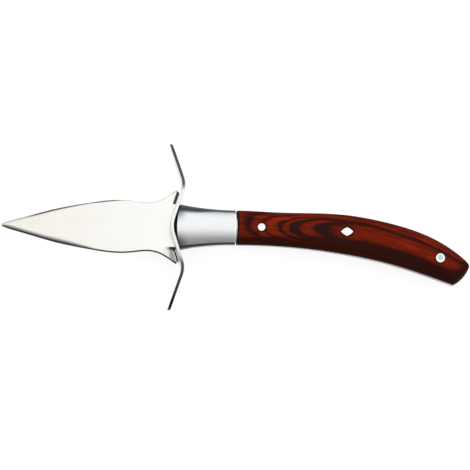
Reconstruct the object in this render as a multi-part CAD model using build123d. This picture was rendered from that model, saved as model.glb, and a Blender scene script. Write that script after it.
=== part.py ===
from build123d import *
import math
import os

# Oyster knife lying on its side, in millimetres.
# It is drawn with the tip at X = 0, the butt towards +X, the back of the handle towards +Y
# and the middle of the steel at Z = 0. The last step moves the origin to the middle of the
# footprint, on the surface that the knife lies on.

# Blade and tang, one piece of flat bar
blade_length = 61.6          # tip to the outer corners of the shoulders
blade_width = 18.5
shoulder_width = 26.0
shoulder_corner = 1.0        # how far the blunt shoulder corner is cut back
steel_thickness = 2.6
shoulder_bevel = 1.1         # filed off the back of the shoulders, outside the slot
shoulder_drop = 1.1
tip_thickness = 1.6          # left by the taper of the flats, before the edges are ground
tip_radius = 0.6
flat_margin = 4.2            # the ground flats stop this far in front of the shoulders
edge_round = 0.5

# Ground edges of the blade
bevel_start = 3.0            # behind the tip, where the two bevels meet on the centre line
bevel_run = 34.5             # length of a bevel along the centre line
bevel_spread = 9.3           # distance of its far end from the centre line
bevel_reach = 1.5            # width of a bevel
bevel_drop = 0.85            # how far it falls over that width
bevel_belly = 0.18           # how far the bevel bulges above a flat one

# Bent guard plate
guard_span = 58.8
guard_width = 22.0
guard_thickness = 1.15
guard_lead = 2.1             # middle bend to the shoulder corners, along X
guard_bow = 4.85             # middle bend to the two outer bends, along X
guard_bend_spread = 29.4     # between the two outer bends, across
guard_sweep = 5.05           # outer bends to the ends of the wings, along X
middle_bend_radius = 10.0
outer_bend_radius = 8.0
guard_edge_round = 0.25

# Bolster
bolster_front_height = 15.8
bolster_rear_height = 12.05
bolster_front_thickness = 14.2
bolster_rear_thickness = 12.8
bolster_length = 23.6        # middle bend of the guard to the rear of the bolster
bolster_front_hollow = 1.3   # how far the middle of the front face stands forward
bolster_rim = 0.5            # bright rim broken onto its rear edge

# Handle
handle_length = 81.85        # front of the scales to the furthest point of the butt
handle_bend = 13.1           # drop of the centre line at the butt
palm_height = 14.2
palm_thickness = 14.6
scale_rim = 0.15             # broken onto the front edge of the scales
butt_wall = 2.2              # straight edge left at the butt, above the middle of the steel
butt_round = 5.0             # how far in front of the butt the crown starts to fall

# Crown of the bolster and of the scales
crown_rise = 3.5
bolster_front_rise = 5.2     # the bolster is rounder where it meets the guard
crown_margin = 0.15
crown_lead = 0.5             # how far the crown of the scales is drawn in front of them

# Pins and rivets
dowel_diameter = 2.5
dowel_length = 9.2
dowel_inset = 6.5            # from the rear of the bolster to the rear dowel
dowel_pitch = 7.5
front_rivet_diameter = 2.6
middle_rivet_length = 4.35
middle_rivet_width = 3.0
rear_rivet_diameter = 3.15
rivet_dome = 0.12            # how far the heads stand proud

# Fits
guard_seat_gap = 0.2         # shoulders to guard
bolster_seat_gap = 0.4       # guard to bolster
slot_gap = 0.1
pin_gap = 0.05
dowel_end_gap = 0.3
overrun = 5.0                # how far cutters reach past what they cut

# Blade edge: shares of the blade length and of its half width, from the tip to the waist
blade_edge_shares = ((0.109, 0.278), (0.281, 0.595), (0.510, 0.895), (0.7305, 1.0), (0.864, 0.943))
# Where the edge leaves the rounded tip: shares of tip_radius, and its slope there
tip_share = (0.5, 0.9)
tip_slope_share = 0.42
# Flare between waist and shoulder: share of the way along and of the way out
flare_share = (0.345, 0.20)
flare_slope_share = 0.62
# Rows of the handle behind its front end: share of handle_length, of handle_bend,
# of palm_height and of palm_thickness
handle_row_shares = (
    (0.156, 0.023, 0.833, 0.82),
    (0.324, 0.068, 0.897, 0.865),
    (0.474, 0.153, 0.976, 0.92),
    (0.634, 0.337, 1.0, 0.975),
    (0.790, 0.618, 0.999, 1.0),
    (0.9315, 1.0, 0.852, 0.96),
)
# Section behind the butt, where the crown has fallen away
butt_row_share = (1.09, 1.45, 0.78, 0.70)
# Nose of the butt: share of handle_length and of handle_bend
nose_lead_share = (0.980, 0.779)
nose_share = (1.0, 0.977)
butt_arc_share = (0.977, 1.245)
scale_front_thickness_share = 0.80
# Front, middle and rear rivet: share of handle_length and of handle_bend
rivet_place_shares = ((0.104, -0.015), (0.472, 0.076), (0.875, 0.748))
# Sides of the middle rivet: 0.5 is straight, 0.7 is round
lozenge_share = 0.57
bolster_waist_share = (0.38, 0.37)
# Sections of the bolster: share of its length, and of the flare from rear to front
bolster_row_shares = ((-0.08, 1.17), (0.38, 0.37), (1.03, 0.0))

steel_half = steel_thickness / 2
guard_bow_x = blade_length - guard_lead
bolster_rear_x = guard_bow_x + bolster_length
guard_end_y = guard_span / 2
guard_bend_y = guard_bend_spread / 2
leg_angle = math.atan2(guard_bow, guard_bend_y)
bolster_front_y = bolster_front_height / 2
bolster_rear_y = bolster_rear_height / 2
handle_front_x = bolster_rear_x
overall_length = handle_front_x + handle_length


def leg_x(y, offset):
    """X of a line beside the inner leg of the guard's centre line, offset square to it."""
    return guard_bow_x + guard_bow * abs(y) / guard_bend_y + offset / math.cos(leg_angle)


def blade_edge():
    """Upper edge of the blade, from the rounded tip to the shoulder corner."""
    half = blade_width / 2
    along, out = tip_share
    points = [(along * tip_radius, out * tip_radius)]
    points += [(x * blade_length, y * half) for x, y in blade_edge_shares]
    waist_x, waist_y = points[-1]
    along, out = flare_share
    shoulder = (blade_length, shoulder_width / 2)
    points.append((waist_x + along * (shoulder[0] - waist_x), waist_y + out * (shoulder[1] - waist_y)))
    points.append(shoulder)
    return Spline(*points, tangents=((1, tip_slope_share), (1, flare_slope_share)))


def shoulder_points():
    """Back of the upper shoulder: blunt corner, then along the guard to the tang."""
    corner_y = shoulder_width / 2 - shoulder_corner
    gap = -(guard_thickness / 2 + guard_seat_gap)
    return [
        (leg_x(corner_y, gap), corner_y),
        (leg_x(bolster_front_y, gap), bolster_front_y),
    ]


def bolster_front_x():
    """X of the bolster's front corners, just behind the guard."""
    return leg_x(bolster_front_y, guard_thickness / 2 + bolster_seat_gap)


def bolster_flare():
    """Hollow upper edge of the bolster, from its front corner to its rear."""
    front = (bolster_front_x(), bolster_front_y)
    rear = (bolster_rear_x, bolster_rear_y)
    along, up = bolster_waist_share
    middle = (front[0] + along * (rear[0] - front[0]), rear[1] + up * (front[1] - rear[1]))
    return ThreePointArc(front, middle, rear)


def handle_rows():
    """Rows of x, centre line, half height and half thickness along the handle."""
    front_thickness = scale_front_thickness_share * palm_thickness / 2
    rows = [(handle_front_x, 0, bolster_rear_y, front_thickness)]
    for along, down, height, thickness in handle_row_shares + (butt_row_share,):
        rows.append((
            handle_front_x + along * handle_length,
            -down * handle_bend,
            height * palm_height / 2,
            thickness * palm_thickness / 2,
        ))
    return rows


def handle_back():
    """Top edge of the handle, from the bolster to the nose of the butt."""
    points = [(x, middle + half) for x, middle, half, _ in handle_rows()[:-1]]
    for along, down in (nose_lead_share, nose_share):
        points.append((handle_front_x + along * handle_length, -down * handle_bend))
    return Spline(*points, tangents=((1, 0), (0, -1)))


def handle_belly():
    """Bottom edge of the handle, from the corner of the butt back to the bolster."""
    points = [(x, middle - half) for x, middle, half, _ in handle_rows()[:-1]]
    return Spline(*reversed(points))


def butt_arc(back, belly):
    """Rounded end of the handle, between its nose and its lower corner."""
    along, down = butt_arc_share
    middle = (handle_front_x + along * handle_length, -down * handle_bend)
    return ThreePointArc(back @ 1, middle, belly @ 0)


def steel_outline():
    """Outline of blade, shoulders and tang."""
    upper = blade_edge()
    lower = mirror(upper, about=Plane.XZ)
    flare = bolster_flare()
    lower_flare = mirror(flare, about=Plane.XZ)
    back = handle_back()
    belly = handle_belly()
    seat = shoulder_points()
    lower_seat = [(x, -y) for x, y in seat]
    edges = [
        ThreePointArc(lower @ 0, (0, 0), upper @ 0),
        upper,
        Polyline(upper @ 1, *seat, flare @ 0),
        flare,
        back,
        butt_arc(back, belly),
        belly,
        lower_flare,
        Polyline(lower_flare @ 0, *reversed(lower_seat), lower @ 1),
        lower,
    ]
    return make_face(Curve() + edges)


def taper_body():
    """Side view of the steel: flats that thin from the shoulders to the tip."""
    flat_end = blade_length - flat_margin
    tip_half = tip_thickness / 2
    fall = (steel_half - tip_half) / flat_end
    tip_end = tip_half - fall * overrun
    rear = overall_length + overrun
    outline = Polyline(
        (-overrun, tip_end), (flat_end, steel_half), (rear, steel_half),
        (rear, -steel_half), (flat_end, -steel_half), (-overrun, -tip_end),
        close=True,
    )
    return extrude(Plane.XZ * make_face(outline), amount=shoulder_width, both=True)


def bevel_cutter():
    """What the wheel takes off the upper edge of the upper face, straight along the bevel."""
    flat_end = blade_length - flat_margin
    far_x = bevel_start + bevel_run

    def flat_height(x):
        return (tip_thickness + (steel_thickness - tip_thickness) * x / flat_end) / 2

    start = Vector(bevel_start, 0, flat_height(bevel_start))
    end = Vector(far_x, bevel_spread, flat_height(far_x))
    along = (end - start).normalized()
    outward = Vector(-along.Y, along.X, 0).normalized()
    face_arc = ThreePointArc(
        (0, 0),
        (bevel_reach / 2, -bevel_drop / 2 + bevel_belly),
        (bevel_reach, -bevel_drop),
    )
    outer = face_arc @ 1 + (face_arc % 1) * overrun
    section = make_face(
        face_arc
        + Polyline(face_arc @ 1, outer, (outer.X, steel_thickness), (0, steel_thickness), (0, 0))
    )
    plane = Plane(origin=start - along * overrun, x_dir=outward, z_dir=along)
    return extrude(plane * section, amount=(end - start).length + 2 * overrun)


def shoulder_cutter():
    """What is filed off the back of the upper shoulder, from its corner to the tang."""
    corner, inner = (Vector(*point) for point in shoulder_points())
    along = (corner - inner).normalized()
    forward = Vector(-along.Y, along.X, 0)
    low = steel_half - shoulder_drop
    section = make_face(Polyline(
        (shoulder_bevel, steel_half), (shoulder_bevel, steel_thickness), (-overrun, steel_thickness),
        (-overrun, low), (0, low),
        close=True,
    ))
    plane = Plane(origin=inner, x_dir=forward, z_dir=along)
    return extrude(plane * section, amount=shoulder_width)


def blade():
    """Blade, shoulders and full tang, with tapered flats and ground edges."""
    steel = extrude(steel_outline(), amount=steel_thickness, both=True) & taper_body()
    edges = [
        edge for edge in steel.edges()
        if edge.bounding_box().min.X < blade_length - flat_margin / 2
        and abs(edge.center().Z) > tip_thickness / 4
        and edge.bounding_box().size.X > tip_radius / 10
    ]
    steel = fillet(edges, edge_round)
    for upper in (bevel_cutter(), shoulder_cutter()):
        for cutter in (upper, mirror(upper, about=Plane.XZ)):
            steel -= cutter
            steel -= mirror(cutter, about=Plane.XY)
    for hole in tang_holes():
        steel -= hole
    return steel


def guard():
    """Oval plate bent into a shallow W, slotted for the tang."""
    wing_slope = guard_sweep / (guard_end_y - guard_bend_y)
    bend_x = guard_bow_x + guard_bow
    end = (bend_x - guard_sweep - wing_slope * overrun, guard_end_y + overrun)
    bend = (bend_x, guard_bend_y)
    line = FilletPolyline(
        (end[0], -end[1]), (bend[0], -bend[1]), (guard_bow_x, 0), bend, end,
        radius=[outer_bend_radius, middle_bend_radius, outer_bend_radius],
    )
    section = Plane(origin=line @ 0, x_dir=(0, 0, 1), z_dir=line % 0) * Rectangle(
        guard_width + overrun, guard_thickness
    )
    plate = sweep(section, path=line)
    oval_plane = Plane(origin=(guard_bow_x - guard_width, 0, 0), x_dir=(0, 1, 0), z_dir=(1, 0, 0))
    quarters = [
        EllipticalCenterArc((0, 0), guard_end_y, guard_width / 2, start, arc_size=90)
        for start in (0, 90, 180, 270)
    ]
    plate &= extrude(oval_plane * make_face(Curve() + quarters), amount=2 * guard_width)
    rim = [edge for edge in plate.edges() if edge.geom_type != GeomType.LINE]
    plate = plate.fillet(guard_edge_round, rim)
    slot = Box(guard_width, bolster_front_height + 2 * slot_gap, steel_thickness + 2 * slot_gap)
    return plate - Pos(guard_bow_x, 0, 0) * slot


def crown_body(rows):
    """Crowned bar through rows of x, centre line, half width, half thickness and rise."""
    sections = []
    for x, middle, half_width, half_thickness, rise in rows:
        wall = half_thickness - rise
        reach = half_width + crown_margin
        quarter_one = EllipticalCenterArc((middle, wall), reach, rise, 0, arc_size=90)
        quarter_two = EllipticalCenterArc((middle, wall), reach, rise, 90, arc_size=90)
        base = Polyline(
            (middle - reach, wall), (middle - reach, -steel_half),
            (middle + reach, -steel_half), (middle + reach, wall),
        )
        plane = Plane(origin=(x, 0, 0), x_dir=(0, 1, 0), z_dir=(1, 0, 0))
        sections.append(plane * make_face(Curve() + [quarter_one, quarter_two, base]))
    return loft(sections)


def rim_body(x, half_width, half_thickness, rim, reach):
    """Body that breaks the edge of an end face at x and widens over its reach, either way."""
    spread = abs(reach) - rim
    small = (x, 0, half_width - rim - crown_margin, half_thickness - rim, crown_rise)
    large = (x + reach, 0, half_width + spread - crown_margin, half_thickness + spread, crown_rise)
    return crown_body([small, large])


def bolster_rows():
    """Sections of the bolster: shares of the way back and of the flare."""
    front_x = bolster_front_x()
    length = bolster_rear_x - front_x
    rows = []
    for along, up in bolster_row_shares:
        rows.append((
            front_x + along * length,
            0,
            bolster_rear_y + up * (bolster_front_y - bolster_rear_y),
            (bolster_rear_thickness + up * (bolster_front_thickness - bolster_rear_thickness)) / 2,
            crown_rise + up * (bolster_front_rise - crown_rise),
        ))
    return rows


def bolster_half():
    """Left half of the bolster, hollowed towards its rear, with blind dowel holes."""
    flare = bolster_flare()
    lower_flare = mirror(flare, about=Plane.XZ)
    front_middle = (bolster_front_x() - bolster_front_hollow, 0)
    outline = make_face(Curve() + [
        ThreePointArc(lower_flare @ 0, front_middle, flare @ 0),
        flare,
        Line(flare @ 1, lower_flare @ 1),
        lower_flare,
    ])
    block = extrude(Pos(0, 0, steel_half) * outline, amount=bolster_front_thickness)
    half = block & crown_body(bolster_rows())
    reach = bolster_front_x() - bolster_rear_x - overrun
    half &= rim_body(bolster_rear_x, bolster_rear_y, bolster_rear_thickness / 2, bolster_rim, reach)
    for x in dowel_places():
        hole = Cylinder(dowel_diameter / 2 + pin_gap, dowel_length + 2 * dowel_end_gap)
        half -= Pos(x, 0, 0) * hole
    return half


def dowel_places():
    rear = bolster_rear_x - dowel_inset
    return (rear - dowel_pitch, rear)


def bolster_dowels():
    """Two dowels across the tang, hidden in blind holes of the bolster halves."""
    dowel = Cylinder(dowel_diameter / 2, dowel_length)
    return Compound([Pos(x, 0, 0) * dowel for x in dowel_places()])


def handle_crown(proud):
    """Crowned shape of one side of the handle, standing proud by a small amount."""
    rows = handle_rows()
    x, middle, half_width, half_thickness = rows[0]
    rows[0] = (x - crown_lead, middle, half_width, half_thickness)
    return crown_body([
        (x, middle, half, thick + proud, crown_rise) for x, middle, half, thick in rows
    ])


def butt_cutter(nose, corner, end):
    """What is rounded off the top towards the butt, square to the line from nose to corner."""
    chord = (corner - nose).normalized()
    outward = Vector(-chord.Y, chord.X, 0)
    crown = palm_thickness / 2
    roll = EllipticalCenterArc((-butt_round, butt_wall), butt_round, crown - butt_wall, 0, arc_size=90)
    top = crown + overrun
    beyond = Polyline(roll @ 1, (-butt_round, top), (overrun, top), (overrun, butt_wall), roll @ 0)
    plane = Plane(origin=end - chord * palm_height, x_dir=outward, z_dir=chord)
    return extrude(plane * make_face(Curve() + [roll, beyond]), amount=2 * palm_height)


def handle_scale():
    """Left handle scale, crowned and rounded over, with its rivet holes."""
    back = handle_back()
    belly = handle_belly()
    end = butt_arc(back, belly)
    outline = make_face(Curve() + [back, end, belly, Line(belly @ 1, back @ 0)])
    block = extrude(Pos(0, 0, steel_half) * outline, amount=palm_thickness)
    scale = block & handle_crown(0)
    front_thickness = scale_front_thickness_share * palm_thickness / 2
    reach = handle_length + overrun
    scale &= rim_body(handle_front_x, bolster_rear_y, front_thickness, scale_rim, reach)
    scale -= butt_cutter(back @ 1, belly @ 0, end @ 0.5)
    for hole in rivet_holes():
        scale -= hole
    return scale


def rivet_sections(gap):
    """Outlines of the front, middle and rear rivets, grown by a gap."""
    length = middle_rivet_length / 2 + gap
    width = middle_rivet_width / 2 + gap
    sides = [
        ThreePointArc(
            (x * length, 0), (x * lozenge_share * length, y * lozenge_share * width), (0, y * width)
        )
        for x, y in ((1, 1), (-1, 1), (-1, -1), (1, -1))
    ]
    outlines = (
        Circle(front_rivet_diameter / 2 + gap),
        make_face(Curve() + sides),
        Circle(rear_rivet_diameter / 2 + gap),
    )
    return [
        Pos(handle_front_x + along * handle_length, -down * handle_bend, 0) * shape
        for (along, down), shape in zip(rivet_place_shares, outlines)
    ]


def rivet_holes():
    return [extrude(section, amount=palm_thickness, both=True) for section in rivet_sections(pin_gap)]


def tang_holes():
    """Rivet and dowel holes through the tang."""
    dowel_hole = Cylinder(dowel_diameter / 2 + pin_gap, palm_thickness)
    return rivet_holes() + [Pos(x, 0, 0) * dowel_hole for x in dowel_places()]


def rivets():
    """Front, middle and rear rivets, their heads finished to the crown of the scales."""
    side = handle_crown(rivet_dome)
    handle = side + mirror(side, about=Plane.XY)
    return [extrude(section, amount=palm_thickness, both=True) & handle for section in rivet_sections(0)]


def parts():
    """Every piece of the knife by name."""
    left_bolster = bolster_half()
    left_scale = handle_scale()
    front, middle, rear = rivets()
    return {
        "blade": blade(),
        "guard": guard(),
        "bolster_half_left": left_bolster,
        "bolster_half_right": mirror(left_bolster, about=Plane.XY),
        "bolster_dowels": bolster_dowels(),
        "handle_scale_left": left_scale,
        "handle_scale_right": mirror(left_scale, about=Plane.XY),
        "front_rivet": front,
        "middle_rivet": middle,
        "rear_rivet": rear,
    }


to_resting_place = Pos(-overall_length / 2, 0, guard_width / 2)
os.makedirs("parts", exist_ok=True)
for name, shape in parts().items():
    export_step(to_resting_place * shape, f"parts/{name}.step")
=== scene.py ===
import math
from functools import reduce

import bpy
from mathutils import Matrix, Vector


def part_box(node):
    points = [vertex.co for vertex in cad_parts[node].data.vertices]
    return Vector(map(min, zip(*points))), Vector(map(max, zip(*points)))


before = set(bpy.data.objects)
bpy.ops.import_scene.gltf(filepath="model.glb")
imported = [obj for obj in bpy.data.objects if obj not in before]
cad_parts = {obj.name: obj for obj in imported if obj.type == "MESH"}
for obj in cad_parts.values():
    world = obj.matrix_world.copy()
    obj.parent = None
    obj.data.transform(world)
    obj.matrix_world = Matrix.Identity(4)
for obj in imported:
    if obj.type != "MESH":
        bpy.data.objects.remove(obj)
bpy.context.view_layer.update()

# Blade and tang: one flat bar of stainless steel, ground along its length on a belt.
# The flats are satin with long fine scratches and a little creamier towards the tip, where
# the belt ran hot. The narrow sides are painted dark, as painted shade.
BLADE_TIP_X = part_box("blade")[0].x
STEEL_COLOUR = (0.66, 0.655, 0.642, 1)
CREAM_COLOUR = (0.585, 0.562, 0.505, 1)
CREAM_LENGTH = 0.062
EVEN_CREAM = 0.35
SMEAR_PITCH = (0.016, 0.007, 0.007)
SCRATCH_PITCH = (0.018, 0.00016, 0.00016)
SCRATCH_SHADES = ((0.30, 0.955), (0.70, 1.0))
SCRATCH_ROUGHNESS = ((0.25, 0.24), (0.75, 0.16))


def finish_of(name, metallic, specular):
    """New material with its shader, and the place on the knife, in metres."""
    material = bpy.data.materials.new(name)
    material.use_nodes = True
    nodes = material.node_tree.nodes
    shader = nodes["Principled BSDF"]
    shader.inputs["Metallic"].default_value = metallic
    shader.inputs["Specular IOR Level"].default_value = specular
    return material, shader, nodes.new("ShaderNodeTexCoord").outputs["Object"]


def node(kind, inputs, **settings):
    """Adds a node to the tree of the sockets that feed it, sets it and fills its inputs."""
    sources = [value for value in inputs.values() if isinstance(value, bpy.types.NodeSocket)]
    tree = sources[0].id_data
    made = tree.nodes.new(kind)
    for key, value in settings.items():
        setattr(made, key, value)
    for socket, value in inputs.items():
        if isinstance(value, bpy.types.NodeSocket):
            tree.links.new(value, made.inputs[socket])
        else:
            made.inputs[socket].default_value = value
    return made


def feed(shader, name, value):
    """Links a value to a socket of a shader."""
    shader.id_data.links.new(value, shader.inputs[name])


def parts(vector):
    """A place or direction along the knife, across it and upwards."""
    return node("ShaderNodeSeparateXYZ", {0: vector}).outputs


def facing_of(shader):
    """Direction that the surface faces, in the same three parts."""
    geometry = shader.id_data.nodes.new("ShaderNodeNewGeometry")
    return parts(geometry.outputs["Normal"])


def maths(operation, *values):
    """Result of a Math node on numbers and sockets."""
    return node("ShaderNodeMath", dict(enumerate(values)), operation=operation).outputs[0]


def plus(*values):
    """Sum of numbers and sockets."""
    return reduce(lambda done, value: maths("ADD", done, value), values)


def minus(*values):
    """What is left of the first value without the others."""
    return reduce(lambda done, value: maths("SUBTRACT", done, value), values)


def times(*values):
    """Product of numbers and sockets."""
    return reduce(lambda done, value: maths("MULTIPLY", done, value), values)


def most(*values):
    """Largest of numbers and sockets."""
    return reduce(lambda done, value: maths("MAXIMUM", done, value), values)


def streaks(place, pitch, detail, seed):
    """Noise stretched to a pitch along each axis, in metres."""
    moved = node("ShaderNodeVectorMath", {0: place, 1: (seed, seed, seed)}, operation="ADD")
    scale = tuple(1 / length for length in pitch)
    scaled = node("ShaderNodeVectorMath", {0: moved.outputs[0], 1: scale}, operation="MULTIPLY")
    noise = {"Vector": scaled.outputs[0], "Scale": 1.0, "Detail": detail, "Roughness": 0.55}
    return node("ShaderNodeTexNoise", noise).outputs["Fac"]


def ramp(value, stops):
    """Colour for a value, through stops of place and colour or grey."""
    made = node("ShaderNodeValToRGB", {"Fac": value})
    points = made.color_ramp.elements
    while len(points) < len(stops):
        points.new(1.0)
    for point, (place, colour) in zip(points, stops):
        point.position = place
        point.color = colour if isinstance(colour, tuple) else (colour, colour, colour, 1)
    return made.outputs["Color"]


def blend(factor, low, high, mode="MIX"):
    """Mixes two colours."""
    inputs = {0: factor, 6: low, 7: high}
    return node("ShaderNodeMix", inputs, data_type="RGBA", blend_type=mode).outputs[2]


def shaded(colour, value, stops):
    """A colour darkened by the greys of a ramp."""
    return blend(1.0, colour, ramp(value, stops), "MULTIPLY")


blade_steel, shader, place = finish_of("blade_steel", metallic=1.0, specular=0.5)
x, y, _ = parts(place)
from_tip = minus(x, BLADE_TIP_X)
scratches = streaks(place, SCRATCH_PITCH, detail=3.0, seed=0.31)
smears = streaks(place, SMEAR_PITCH, detail=2.0, seed=0.77)
cream = times(minus(1.0, maths("DIVIDE", from_tip, CREAM_LENGTH)), plus(smears, EVEN_CREAM))
cream = node("ShaderNodeClamp", {"Value": cream}).outputs[0]
ground = shaded(blend(cream, STEEL_COLOUR, CREAM_COLOUR), scratches, SCRATCH_SHADES)

# Each pair below says where a mark starts and where it is full: in metres from the tip,
# across the blade or beside a line, or as how level the surface is, 1 for flat and 0 for
# upright. A facing is how far the surface looks along, across or up, from -1 to 1.
LOWER_HALF = (0.0004, -0.0004)
# Painted shade darkens the ground edge only at its foot, and behind it the whole rounded edge
PAST_GROUND_EDGE = (0.015, 0.034)
# Beside the lower ground edge a soft band of painted shade darkens the flat
PAINTED_SHADE_GREY = (0.17, 0.175, 0.175, 1)
GROUND_EDGE_START = 0.003
GROUND_EDGE_SLOPE = 0.27
EDGE_SHADE_BESIDE = (-0.0007, 0.0003)
EDGE_SHADE_ALONG = (0.013, 0.026)
EDGE_SHADE_SHARE = 0.7
# Above the middle the side gets painted shade only from behind the tip to part way along
SIDE_SHADE_COLOUR = (0.070, 0.073, 0.075, 1)
LOWER_SIDE_SHADE_COLOUR = (0.045, 0.047, 0.047, 1)
UPPER_SHADE_START = (0.007, 0.013)
UPPER_SHADE_END = (0.045, 0.038)
SIDE_SHADE_END = (0.0602, 0.0592)
# How level the edges are where they start to darken and where they are dark, on the ground
# edge and behind it
UPPER_STARTS_LEVEL = (0.93, 0.997)
UPPER_FULL_LEVEL = (0.74, 0.96)
LOWER_STARTS_LEVEL = (0.96, 0.999)
LOWER_FULL_LEVEL = (0.80, 0.98)


def step(value, low, high):
    """Smooth 0 to 1 as a value goes from low to high."""
    limits = {"Value": value, "From Min": low, "From Max": high}
    return node("ShaderNodeMapRange", limits, interpolation_type="SMOOTHSTEP").outputs["Result"]


def slide(share, first, last):
    """A number that goes from first to last as a share goes from 0 to 1."""
    return plus(first, times(share, last - first))


_, facing_y, facing_z = facing_of(shader)
level = maths("ABSOLUTE", facing_z)
lower_half = step(y, *LOWER_HALF)
past_edge = step(from_tip, *PAST_GROUND_EDGE)

edge_line = times(minus(from_tip, GROUND_EDGE_START), GROUND_EDGE_SLOPE)
# Painted shade: a soft dark band on the flat beside the lower ground edge
edge_shade = step(minus(maths("ABSOLUTE", y), edge_line), *EDGE_SHADE_BESIDE)
edge_shade = times(edge_shade, step(from_tip, *EDGE_SHADE_ALONG), lower_half, EDGE_SHADE_SHARE)
ground = blend(edge_shade, ground, PAINTED_SHADE_GREY)

# Painted shade on the steep edges, by how level the surface lies
upper_starts = slide(past_edge, *UPPER_STARTS_LEVEL)
upper_shade = step(level, upper_starts, slide(past_edge, *UPPER_FULL_LEVEL))
upper_shade = times(
    upper_shade, step(from_tip, *UPPER_SHADE_START), step(from_tip, *UPPER_SHADE_END)
)
lower_starts = slide(past_edge, *LOWER_STARTS_LEVEL)
lower_shade = step(level, lower_starts, slide(past_edge, *LOWER_FULL_LEVEL))
lower_shade = times(lower_shade, lower_half)
side_shade = times(most(upper_shade, lower_shade), step(from_tip, *SIDE_SHADE_END))
side_shade_colour = blend(times(past_edge, lower_half), SIDE_SHADE_COLOUR, LOWER_SIDE_SHADE_COLOUR)
ground = blend(side_shade, ground, side_shade_colour)

# The backs of the shoulders are filed off along the guard, whose two legs slope back from
# its bend. Painted shade darkens the filed backs and their undersides; a painted highlight
# lightens the front half of the lower one.
GUARD_BEND_INSET = 0.0009
GUARD_BEND_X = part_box("guard")[0].x + GUARD_BEND_INSET
GUARD_LEG_SLOPE = 0.33
SHOULDER_SHADE_COLOUR = (0.27, 0.275, 0.275, 1)
SHOULDER_HIGHLIGHT_COLOUR = (0.90, 0.90, 0.89, 1)
FILED_START = (0.0596, 0.0602)
FILED_LEVEL = (0.93, 0.80)
HIGHLIGHT_BY_GUARD = (-0.0014, -0.0017)
UNDERSIDE_START = (0.0590, 0.0602)
UNDERSIDE_FACING = (-0.30, -0.60)
SHOULDERS_END = (0.0645, 0.0635)


def behind_guard(x, y):
    """Distance behind the middle of the guard's bent sheet."""
    return minus(x, GUARD_BEND_X, times(maths("ABSOLUTE", y), GUARD_LEG_SLOPE))


from_guard = behind_guard(x, y)
shoulders = step(from_tip, *SHOULDERS_END)
filed_shade = times(step(from_tip, *FILED_START), step(level, *FILED_LEVEL), shoulders)
lower_highlight = times(lower_half, step(from_guard, *HIGHLIGHT_BY_GUARD))
ground = blend(filed_shade, ground, blend(lower_highlight, SHOULDER_SHADE_COLOUR, SHOULDER_HIGHLIGHT_COLOUR))
# Painted shade on the undersides of the shoulders
underside_shade = times(
    step(facing_y, *UNDERSIDE_FACING), step(from_tip, *UNDERSIDE_START), shoulders
)
ground = blend(underside_shade, ground, SIDE_SHADE_COLOUR)

# Painted shade greys the corner of the lower shoulder by the guard, under a scribed line.
# That line is black, and so are a painted shadow in the joint with the guard and a line along the
# lower edge.
BLACK_LINE_AND_SHADOW_COLOUR = (0.018, 0.019, 0.018, 1)
FAINT_CORNER_SHADE = (0.0555, 0.0590)
FAINT_SHARE = 0.20
STRONG_CORNER_SHADE = (0.0586, 0.0600)
STRONG_SHARE = 0.70
CORNER_SHADE_BELOW = (-0.0068, -0.0073)
CORNER_SHADE_LEVEL = (0.93, 0.97)
SCRIBED_TOP = (-0.0068, -0.0072)
SCRIBED_FOOT = (-0.0083, -0.0079)
SCRIBED_START = (0.0575, 0.0602)
JOINT_BY_GUARD = (-0.0016, -0.0013)
LOW_EDGE_SLOPE = 0.5
LOW_EDGE = (0.01865, 0.01835)
LOW_EDGE_START = (0.0593, 0.0600)

# Painted shade in the corner of the lower shoulder
faint = times(step(from_tip, *FAINT_CORNER_SHADE), FAINT_SHARE)
strong = times(step(from_tip, *STRONG_CORNER_SHADE), STRONG_SHARE)
corner_shade = times(plus(faint, strong), step(y, *CORNER_SHADE_BELOW), step(level, *CORNER_SHADE_LEVEL))
ground = blend(corner_shade, ground, PAINTED_SHADE_GREY)
below_line = step(y, *SCRIBED_TOP)
scribed = times(below_line, step(y, *SCRIBED_FOOT), step(from_tip, *SCRIBED_START))
# Painted shadow, black in the joint with the guard
joint_shadow = times(below_line, step(from_guard, *JOINT_BY_GUARD))
from_edge = plus(y, times(from_tip, LOW_EDGE_SLOPE))
low_edge = times(step(from_edge, *LOW_EDGE), step(from_tip, *LOW_EDGE_START))
black_lines_and_shadow = times(most(scribed, joint_shadow, low_edge), shoulders)
ground = blend(black_lines_and_shadow, ground, BLACK_LINE_AND_SHADOW_COLOUR)

# Along the handle the sides of the tang are sanded across, flush with the wood. Behind the
# guard the flat faces of the tang are painted black and not metallic, as a painted shadow in the
# gap before the bolster.
SANDED_START = (0.0650, 0.0665)
SANDED_LEVEL = (0.60, 0.30)
SANDING_PITCH = (0.00018, 0.004, 0.004)
SANDING_SHADES = ((0.34, 0.52), (0.66, 0.80))
GAP_SHADOW_COLOUR = (0.006, 0.006, 0.006, 1)
GAP_SHADOW_LEVEL = (0.6, 0.8)
GAP_SHADOW_BY_GUARD = (0.0, 0.0004)
GAP_SHADOW_ROUGHNESS = 0.5


def relief(shader, height, strength, depth):
    """Bump from a height, in metres."""
    inputs = {"Height": height, "Strength": strength, "Distance": depth}
    feed(shader, "Normal", node("ShaderNodeBump", inputs).outputs["Normal"])


def dress(names, material):
    """Gives CAD nodes a material."""
    for name in names:
        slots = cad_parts[name].data.materials
        slots.clear()
        slots.append(material)


sanded = times(step(from_tip, *SANDED_START), step(level, *SANDED_LEVEL))
sanding = streaks(place, SANDING_PITCH, detail=3.0, seed=0.68)
ground = blend(sanded, ground, shaded(STEEL_COLOUR, sanding, SANDING_SHADES))
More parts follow.
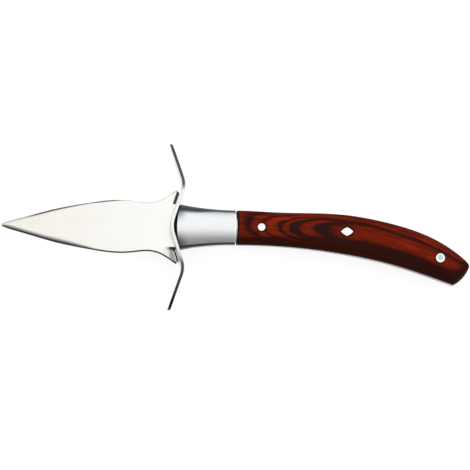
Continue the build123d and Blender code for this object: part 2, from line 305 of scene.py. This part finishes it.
# Painted shadow: the tang's faces behind the guard are black and not metallic
gap_shadow = times(step(level, *GAP_SHADOW_LEVEL), step(from_guard, *GAP_SHADOW_BY_GUARD))
feed(shader, "Base Color", blend(gap_shadow, ground, GAP_SHADOW_COLOUR))
feed(shader, "Metallic", minus(1.0, gap_shadow))
smooth = ramp(scratches, SCRATCH_ROUGHNESS)
feed(shader, "Roughness", plus(smooth, times(gap_shadow, GAP_SHADOW_ROUGHNESS)))
relief(shader, scratches, strength=0.3, depth=0.00001)
dress(("blade",), blade_steel)

# Guard: thin stainless sheet, pressed into an oval and bent into a shallow W.
# It is satin all over. The rim is polished beside the bolster, where the hand rests, and
# painted dark along the wings and black at the lower end.
GUARD_COLOUR = (0.635, 0.635, 0.63, 1)
RIM_COLOUR = (0.060, 0.066, 0.070, 1)
LOWER_END_COLOUR = (0.005, 0.005, 0.005, 1)
ROLLED_PITCH = (0.0005, 0.009, 0.0003)
ROLLED_SHADES = ((0.3, 0.92), (0.7, 1.0))
ROLLED_ROUGHNESS = ((0.3, 0.30), (0.7, 0.20))
RIM_FACING = (0.72, 0.45)
UPPER_WING = (0.0120, 0.0150)
LOWER_WING = (-0.0088, -0.0138)
LOWER_END_RIM = (-0.0235, -0.0265)

guard_steel, shader, place = finish_of("guard_steel", metallic=1.0, specular=0.5)
_, y, _ = parts(place)
facing_x, _, _ = facing_of(shader)
rolled = streaks(place, ROLLED_PITCH, detail=3.0, seed=0.13)
on_rim = step(maths("ABSOLUTE", facing_x), *RIM_FACING)
# The rim is painted dark along the wings and black at the lower end
dark_wing_rim = times(on_rim, most(step(y, *UPPER_WING), step(y, *LOWER_WING)))
wing_rim_colour = blend(step(y, *LOWER_END_RIM), RIM_COLOUR, LOWER_END_COLOUR)
sheet = shaded(GUARD_COLOUR, rolled, ROLLED_SHADES)
feed(shader, "Base Color", blend(dark_wing_rim, sheet, wing_rim_colour))
feed(shader, "Roughness", ramp(rolled, ROLLED_ROUGHNESS))
relief(shader, rolled, strength=0.3, depth=0.00001)
dress(("guard",), guard_steel)

# Bolster: two cast steel halves, clamped on the tang by two hidden steel dowels.
# The halves are ground to shape with the handle and polished along it. Their steep sides
# are painted dark as painted shade, and painted shade darkens the corners behind the guard.
BOLSTER_REAR_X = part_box("bolster_half_left")[1].x
BOLSTER_COLOUR = (0.606, 0.616, 0.628, 1)
POLISH_PITCH = (0.012, 0.0004, 0.0004)
POLISH_SHADES = ((0.3, 0.95), (0.7, 1.0))
SPECK_PITCH = (0.0006, 0.0005, 0.0005)
SPECK_SHADES = ((0.35, 0.96), (0.65, 1.0))
HAZE_PITCH = (0.004, 0.003, 0.003)
HAZE_ROUGHNESS = ((0.3, 0.25), (0.7, 0.19))
GUARD_SHADE_COLOUR = (0.10, 0.105, 0.11, 1)
GUARD_SHADE_BEHIND = (0.0052, 0.0004)
GUARD_SHADE_ASIDE = (0.0005, 0.0055)
GUARD_SHADE_SHARE = 0.9
BOLSTER_SIDE_SHADE = (0.058, 0.070, 0.082, 1)
BOLSTER_LOWER_SHADE = (0.026, 0.034, 0.038, 1)
LOWER_SHADE_FACING = (-0.62, -0.74)
# Above, the painted shade covers less of the side towards the handle: how far the side faces
# outwards where the shade starts and where it is full, at the front and at the rear
REARWARD = (-0.0150, -0.0060)
BOLSTER_SHADE_STARTS = (0.40, 0.57)
BOLSTER_SHADE_FULL = (0.62, 0.76)
# A painted highlight lights the rear rim as a thin line, by its distance from the rear end
REAR_HIGHLIGHT_COLOUR = (0.95, 0.95, 0.94, 1)
REAR_HIGHLIGHT = (-0.00074, -0.00064)

bolster_steel, shader, place = finish_of("bolster_steel", metallic=1.0, specular=0.5)
x, y, _ = parts(place)
_, facing_y, _ = facing_of(shader)
polish = streaks(place, POLISH_PITCH, detail=3.0, seed=0.53)
specks = streaks(place, SPECK_PITCH, detail=2.0, seed=0.19)
haze = streaks(place, HAZE_PITCH, detail=2.0, seed=0.91)
metal = shaded(shaded(BOLSTER_COLOUR, polish, POLISH_SHADES), specks, SPECK_SHADES)
# Painted shade of the guard darkens the front corners of the bolster
guard_shade = times(
    step(behind_guard(x, y), *GUARD_SHADE_BEHIND), step(maths("ABSOLUTE", y), *GUARD_SHADE_ASIDE), GUARD_SHADE_SHARE
)
metal = blend(guard_shade, metal, GUARD_SHADE_COLOUR)
# Painted shade on the steep sides of the bolster, above and below
rearward = step(x, *REARWARD)
shade_starts = slide(rearward, *BOLSTER_SHADE_STARTS)
upper_side_shade = step(facing_y, shade_starts, slide(rearward, *BOLSTER_SHADE_FULL))
metal = blend(upper_side_shade, metal, BOLSTER_SIDE_SHADE)
metal = blend(step(facing_y, *LOWER_SHADE_FACING), metal, BOLSTER_LOWER_SHADE)
# Painted highlight along the rear rim of the bolster
rear_highlight = step(minus(x, BOLSTER_REAR_X), *REAR_HIGHLIGHT)
feed(shader, "Base Color", blend(rear_highlight, metal, REAR_HIGHLIGHT_COLOUR))
feed(shader, "Roughness", ramp(haze, HAZE_ROUGHNESS))
relief(shader, polish, strength=0.2, depth=0.00001)
dress(("bolster_half_left", "bolster_half_right"), bolster_steel)

# Handle scales: two slabs of resin-soaked laminated wood, dyed red-brown and cut so that
# the layers show as nested arcs, shaped on the tang and rubbed to a satin gloss.
# The curve below is the drop of the handle's middle line, which the long grain follows.
HANDLE_FRONT_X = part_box("handle_scale_left")[0].x
HANDLE_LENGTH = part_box("handle_scale_left")[1].x - HANDLE_FRONT_X
HANDLE_DROP = 0.0195
MIDDLE_LINE = (
    (0.0, 0.0), (0.16, 0.015), (0.32, 0.046), (0.47, 0.103), (0.63, 0.226), (0.79, 0.415),
    (0.93, 0.672), (1.0, 0.80),
)

handle_wood, shader, place = finish_of("handle_wood", metallic=0.0, specular=0.025)
x, y, z = parts(place)
behind = minus(x, HANDLE_FRONT_X)
handle_share = maths("DIVIDE", behind, HANDLE_LENGTH)
drop_curve = node("ShaderNodeFloatCurve", {"Value": handle_share})
middle_line = drop_curve.mapping.curves[0]
for _ in MIDDLE_LINE[2:]:
    middle_line.points.new(0.5, 0.5)
for point, where in zip(middle_line.points, MIDDLE_LINE):
    point.location = where
drop_curve.mapping.update()
across = plus(y, times(drop_curve.outputs[0], HANDLE_DROP))
straight = node("ShaderNodeCombineXYZ", {0: behind, 1: across, 2: z}).outputs[0]

# The layers show as arcs that point at the bolster and bend back on both sides. Their axis
# falls a little on the way to the butt, and they bend more sharply above it than below.
# A bend is given at the bolster and by how much it grows for each metre behind it.
AXIS_HEIGHT = 0.0019
AXIS_SLOPE = -0.05
AXIS_LOWEST = 0.0011
AXIS_WAVE_PITCH = (0.022, 0.006, 0.02)
LOWER_BEND = (120.0, 12000.0)
UPPER_EXTRA_BEND = (-20.0, 16000.0)
ARC_WAVE_PITCH = (0.008, 0.0030, 0.01)
# Brightness of the arcs by their distance behind the bolster, in metres
ARC_RANGE = (-0.020, 0.050)
ARC_SHADES = (
    (-0.020, 0.62), (-0.006, 0.67), (0.0005, 0.62), (0.0022, 0.44), (0.0031, 0.16),
    (0.0042, 0.23), (0.0053, 0.62), (0.0070, 0.81), (0.0081, 0.41), (0.0087, 0.32),
    (0.0096, 0.69), (0.0115, 0.88), (0.0133, 0.76), (0.0143, 0.18), (0.0150, 0.23),
    (0.0159, 0.65), (0.0174, 0.69), (0.0186, 0.07), (0.0201, 0.00), (0.0213, 0.34),
    (0.0227, 0.74), (0.0252, 0.76), (0.0272, 0.27), (0.0287, 0.00), (0.0303, 0.04),
    (0.0320, 0.32), (0.0350, 0.51), (0.0390, 0.78), (0.050, 0.92),
)
# The tails of the arcs, away from their axis, fade a little towards one even shade
TAIL_SHADE = (0.62, 0.62, 0.62, 1)
TAIL_RANGE = (0.0012, 0.0048)
TAIL_SHARE = 0.28


def swing(pitch, detail, seed, reach):
    """Noise along the grain that swings to both sides, over a reach."""
    return times(minus(streaks(straight, pitch, detail, seed), 0.5), reach)


def rising(value, start, slope):
    """A number that rises evenly with a value."""
    return plus(start, times(value, slope))


def shades(value, limits, stops):
    """Grey ramp over a distance in metres."""
    low, high = limits
    share = maths("DIVIDE", minus(value, low), high - low)
    return ramp(share, [((where - low) / (high - low), grey) for where, grey in stops])


axis = most(rising(behind, AXIS_HEIGHT, AXIS_SLOPE), AXIS_LOWEST)
bent = plus(across, swing(AXIS_WAVE_PITCH, detail=2.0, seed=0.21, reach=0.0016))
off_axis = minus(bent, axis)
above_axis = maths("GREATER_THAN", off_axis, 0.0)
extra_bend = times(above_axis, rising(behind, *UPPER_EXTRA_BEND))
bend = plus(extra_bend, rising(behind, *LOWER_BEND))
arc = minus(behind, times(off_axis, off_axis, bend))
arc = plus(arc, swing(ARC_WAVE_PITCH, detail=2.0, seed=0.57, reach=0.0024))
tails = times(step(maths("ABSOLUTE", off_axis), *TAIL_RANGE), TAIL_SHARE)
arcs = blend(tails, shades(arc, ARC_RANGE, ARC_SHADES), TAIL_SHADE)

# Behind the arcs, and along the upper edge, the layers show as straight grain, which leans
# down a little towards the butt.
LONG_WAVE_PITCH = (0.034, 0.004, 0.02)
LEANING_START = 0.046
LEANING_SLOPE = 0.05
# Brightness of the straight grain by its distance from the middle line, in metres
LONG_RANGE = (-0.0075, 0.0080)
LONG_SHADES = (
    (-0.0075, 0.42), (-0.0030, 0.44), (-0.0018, 0.46), (-0.0010, 0.54), (-0.0003, 0.68),
    (0.0005, 0.75), (0.0017, 0.77), (0.0027, 0.69), (0.0036, 0.60), (0.0042, 0.46),
    (0.0046, 0.12), (0.0050, 0.16), (0.0053, 0.54), (0.0060, 0.74), (0.0064, 0.46),
    (0.0068, 0.66), (0.0080, 0.62),
)
ARCS_END = (0.031, 0.042)
UPPER_GRAIN_ABOVE = (0.0036, 0.0044)
UPPER_GRAIN_BEHIND = (0.022, 0.034)

grain_line = plus(across, swing(LONG_WAVE_PITCH, detail=2.0, seed=0.83, reach=0.0014))
leaning = times(most(minus(behind, LEANING_START), 0.0), LEANING_SLOPE)
long_grain = shades(plus(grain_line, leaning), LONG_RANGE, LONG_SHADES)
shade = blend(step(arc, *ARCS_END), arcs, long_grain)
upper_grain = times(step(across, *UPPER_GRAIN_ABOVE), step(behind, *UPPER_GRAIN_BEHIND))
shade = blend(upper_grain, shade, long_grain)

# The dye went deeper along the lower edge, up to a border that climbs behind the bolster
# and again at the butt. Mottling, fibres and pores are finer than the layers.
BORDER_HEIGHT = -0.0032
BORDER_SLOPE = 0.06
BORDER_HIGHEST = -0.0016
BORDER_RISE = 0.0020
BORDER_RISE_BEHIND = (0.070, 0.081)
DYED_BELOW = (-0.0006, 0.0008)
DYED_SHARE = 0.58
MOTTLE_PITCH = (0.0060, 0.0009, 0.002)
FIBRE_PITCH = (0.009, 0.00040, 0.0006)
GRAIN_REACH = 0.70
PORE_PITCH = (0.0028, 0.00016, 0.0003)
PORE_RANGE = (0.56, 0.74)
PORE_DARKNESS = 0.10

border = maths("MINIMUM", rising(behind, BORDER_HEIGHT, BORDER_SLOPE), BORDER_HIGHEST)
border = plus(border, times(step(behind, *BORDER_RISE_BEHIND), BORDER_RISE))
dyed_dark = times(step(minus(border, grain_line), *DYED_BELOW), DYED_SHARE)
mottle = swing(MOTTLE_PITCH, detail=3.0, seed=0.29, reach=GRAIN_REACH)
fibres = streaks(straight, FIBRE_PITCH, detail=4.0, seed=0.63)
pores = streaks(straight, PORE_PITCH, detail=2.0, seed=0.42)
grain = plus(mottle, times(minus(fibres, 0.5), GRAIN_REACH))
figure = times(plus(shade, grain), minus(1.0, dyed_dark))
figure = minus(figure, times(step(pores, *PORE_RANGE), PORE_DARKNESS))

# Painted shade darkens the wood where it turns down at its sides. It is also darker at the sawn
# butt, and in a thin ring around each rivet and along the joint with the bolster, as dark joint
# lines with painted shade.
SIDE_LEVEL = (0.75, 0.35)
SIDE_SHADE_DARKNESS = 0.22
BUTT_SLANT = 0.45
BUTT_START = (0.0762, 0.0798)
BUTT_DARKNESS = 0.32
BUTT_LEAST = 0.20
JOINT_BEHIND = (0.00080, 0.00050)
JOINT_AND_SHADE_DARKNESS = 0.6
RING_WIDTH = 0.0004
RING_RANGE = (1.25, 0.85)
RING_SHARE = 0.65
# Rivets by their place behind the bolster and across the knife, and their half sizes
RIVETS = (
    (0.00851, 0.0002, 0.0013, 0.0013), (0.03863, -0.0010, 0.0022, 0.0015),
    (0.07162, -0.0098, 0.0016, 0.0016),
)

_, _, facing_z = facing_of(shader)
# Painted shade where the wood turns down at its sides
wood_side_shade = times(step(maths("ABSOLUTE", facing_z), *SIDE_LEVEL), SIDE_SHADE_DARKNESS)
at_butt = step(minus(behind, times(across, BUTT_SLANT)), *BUTT_START)
figure = minus(figure, most(wood_side_shade, times(at_butt, BUTT_DARKNESS)))
figure = most(figure, times(at_butt, BUTT_LEAST))
# Dark joint lines with painted shade, around each rivet and along the bolster
joint_line_and_shade = step(behind, *JOINT_BEHIND)
for rivet_x, rivet_y, half_length, half_width in RIVETS:
    off_x = maths("DIVIDE", minus(behind, rivet_x), half_length + RING_WIDTH)
    off_y = maths("DIVIDE", minus(y, rivet_y), half_width + RING_WIDTH)
    away = plus(times(off_x, off_x), times(off_y, off_y))
    joint_line_and_shade = most(joint_line_and_shade, times(step(away, *RING_RANGE), RING_SHARE))
figure = minus(figure, times(joint_line_and_shade, JOINT_AND_SHADE_DARKNESS))

# Dark to bright the dye runs from near black to red. It took less in some streaks near the
# bolster, which are more amber.
WOOD_SHADES = (
    (0.00, (0.0150, 0.0085, 0.0062, 1)),
    (0.20, (0.0230, 0.0036, 0.0020, 1)),
    (0.45, (0.066, 0.0055, 0.0016, 1)),
    (0.70, (0.125, 0.0085, 0.0018, 1)),
    (1.00, (0.250, 0.0160, 0.0022, 1)),
)
FIBRE_ROUGHNESS = ((0.3, 0.42), (0.7, 0.34))
AMBER_COLOUR = (0.125, 0.032, 0.011, 1)
AMBER_PITCH = (0.0050, 0.0011, 0.002)
AMBER_RANGE = (0.46, 0.66)
AMBER_BEHIND = (0.046, 0.022)
AMBER_FIGURE = (0.30, 0.55)
AMBER_SHARE = 0.28

amber = step(streaks(straight, AMBER_PITCH, detail=3.0, seed=0.37), *AMBER_RANGE)
amber = times(amber, step(behind, *AMBER_BEHIND), step(figure, *AMBER_FIGURE), AMBER_SHARE)
feed(shader, "Base Color", blend(amber, ramp(figure, WOOD_SHADES), AMBER_COLOUR))
feed(shader, "Roughness", ramp(fibres, FIBRE_ROUGHNESS))
relief(shader, fibres, strength=0.2, depth=0.00002)
dress(("handle_scale_left", "handle_scale_right"), handle_wood)

# Rivets and dowels: steel pins driven through the scales and the tang, their heads
# peened over and polished flush with the wood. The rear one is painted greyer around its middle.
RIVET_COLOUR = (0.665, 0.665, 0.66, 1)
SCUFF_PITCH = (0.0012, 0.0003, 0.0012)
SCUFF_SHADES = ((0.3, 0.94), (0.7, 1.0))
SCUFF_ROUGHNESS = ((0.3, 0.26), (0.7, 0.18))
REAR_RIVET = (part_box("rear_rivet")[0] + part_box("rear_rivet")[1]) / 2
GREY_CENTRE_COLOUR = (0.37, 0.445, 0.43, 1)
GREY_CENTRE_OFFSET = 0.0002
GREY_CENTRE_REACH = (0.00125, 0.00075)

rivet_steel, shader, place = finish_of("rivet_steel", metallic=1.0, specular=0.5)
x, y, _ = parts(place)
off_x = minus(x, REAR_RIVET.x)
off_y = minus(y, REAR_RIVET.y + GREY_CENTRE_OFFSET)
from_centre = maths("SQRT", plus(times(off_x, off_x), times(off_y, off_y)))
metal = blend(step(from_centre, *GREY_CENTRE_REACH), RIVET_COLOUR, GREY_CENTRE_COLOUR)
scuffs = streaks(place, SCUFF_PITCH, detail=2.0, seed=0.37)
feed(shader, "Base Color", shaded(metal, scuffs, SCUFF_SHADES))
feed(shader, "Roughness", ramp(scuffs, SCUFF_ROUGHNESS))
relief(shader, scuffs, strength=0.2, depth=0.00001)
dress(("front_rivet", "middle_rivet", "rear_rivet", "bolster_dowels"), rivet_steel)

# Table: a plain white sheet. The knife rests on the rim of its guard and on the butt end
# of the handle, so the sheet slopes from one to the other.
GUARD_LOW_X = (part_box("guard")[0].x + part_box("guard")[1].x) / 2
BUTT_INSET = 0.010
BUTT_LOW = (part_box("handle_scale_right")[1].x - BUTT_INSET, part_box("handle_scale_right")[0].z)
TABLE_REACH = 20.0
TABLE_GAP = 0.0001
TABLE_COLOUR = (0.30, 0.30, 0.30, 1)
TABLE_GLOW = 0.80

slope = BUTT_LOW[1] / (BUTT_LOW[0] - GUARD_LOW_X)
corners = []
for side_x, side_y in ((-1, -1), (1, -1), (1, 1), (-1, 1)):
    corner_x = side_x * TABLE_REACH
    corners.append((corner_x, side_y * TABLE_REACH, slope * (corner_x - GUARD_LOW_X) - TABLE_GAP))
table_mesh = bpy.data.meshes.new("table")
table_mesh.from_pydata(corners, [], [(0, 1, 2, 3)])
table = bpy.data.objects.new("table", table_mesh)
bpy.context.scene.collection.objects.link(table)

paper, shader, _ = finish_of("white_sheet", metallic=0.0, specular=0.0)
shader.inputs["Base Color"].default_value = TABLE_COLOUR
shader.inputs["Roughness"].default_value = 1.0
shader.inputs["Emission Color"].default_value = (1, 1, 1, 1)
light_path = paper.node_tree.nodes.new("ShaderNodeLightPath").outputs
seen = most(
    light_path["Is Camera Ray"], light_path["Is Glossy Ray"], light_path["Is Transmission Ray"]
)
feed(shader, "Emission Strength", times(seen, TABLE_GLOW))
table.data.materials.append(paper)

# Light: a large soft box overhead that leans to the back of the handle and reaches down
# behind the butt, where a white card stands, and pale walls far away, low on the horizon.
BRIGHTEST = 2.0
# The soft box by its lean to the back of the handle in degrees, and its strength there
SOFT_BOX = (
    (-90, 0.10), (-80, 0.20), (-72, 0.40), (-64, 0.48), (-50, 0.52), (-40, 0.62), (-30, 0.86),
    (-21, 1.08), (-13, 1.30), (-5, 1.47), (2, 1.56), (35, 1.56), (50, 1.48), (60, 1.36),
    (66, 1.26), (72, 1.06), (80, 0.72), (90, 0.40),
)
# Less light comes from in front of the tip, by a lean from 0 there to 1 behind the butt
SIDE_FALL = ((0.0, 0.16), (0.17, 0.30), (0.25, 1.0), (1.0, 1.0))
WALL_HEIGHT = ((0.0, 1.0), (0.10, 1.0), (0.20, 0.0))
WALL_SHADES = ((0.30, 0.42), (0.75, 0.85))


def lean(aside, up):
    """Lean of a direction, from 0 at one side through 0.5 overhead to 1 at the other."""
    return plus(maths("DIVIDE", maths("ARCTAN2", aside, up), math.pi), 0.5)


world = bpy.data.worlds.new("studio")
bpy.context.scene.world = world
world.use_nodes = True
nodes = world.node_tree.nodes
x, y, z = parts(nodes.new("ShaderNodeTexCoord").outputs["Generated"])
stops = [((degrees / 90 + 1) / 2, strength / BRIGHTEST) for degrees, strength in SOFT_BOX]
sky = blend(1.0, ramp(lean(y, z), stops), ramp(lean(x, z), SIDE_FALL), "MULTIPLY")
studio = blend(ramp(z, WALL_HEIGHT), sky, ramp(x, WALL_SHADES))
background = nodes["Background"]
feed(background, "Color", studio)
background.inputs["Strength"].default_value = BRIGHTEST

# Camera: straight above the knife, a touch towards its lower edge and its tip, far away
# and with a long lens, as the photograph is taken.
FRAME_WIDTH = 0.1658
LENS = 700.0
FAR_CLIP = 100.0
LOOKED_AT = Vector((-0.00007, -0.002415, 0.011))
CAMERA_SIDE = Vector((-0.024, -0.057, 1.0)).normalized()
CAMERA_ROLL = math.radians(0.845)

lens = bpy.data.cameras.new("camera")
lens.lens = LENS
lens.clip_end = FAR_CLIP
camera = bpy.data.objects.new("camera", lens)
bpy.context.scene.collection.objects.link(camera)
right = Vector((math.cos(CAMERA_ROLL), math.sin(CAMERA_ROLL), 0))
right = (right - CAMERA_SIDE * right.dot(CAMERA_SIDE)).normalized()
up = CAMERA_SIDE.cross(right)
turn = Matrix((right, up, CAMERA_SIDE)).transposed().to_4x4()
distance = FRAME_WIDTH * LENS / lens.sensor_width
camera.matrix_world = Matrix.Translation(LOOKED_AT + CAMERA_SIDE * distance) @ turn
bpy.context.scene.camera = camera
bpy.context.scene.view_settings.view_transform = "Standard"
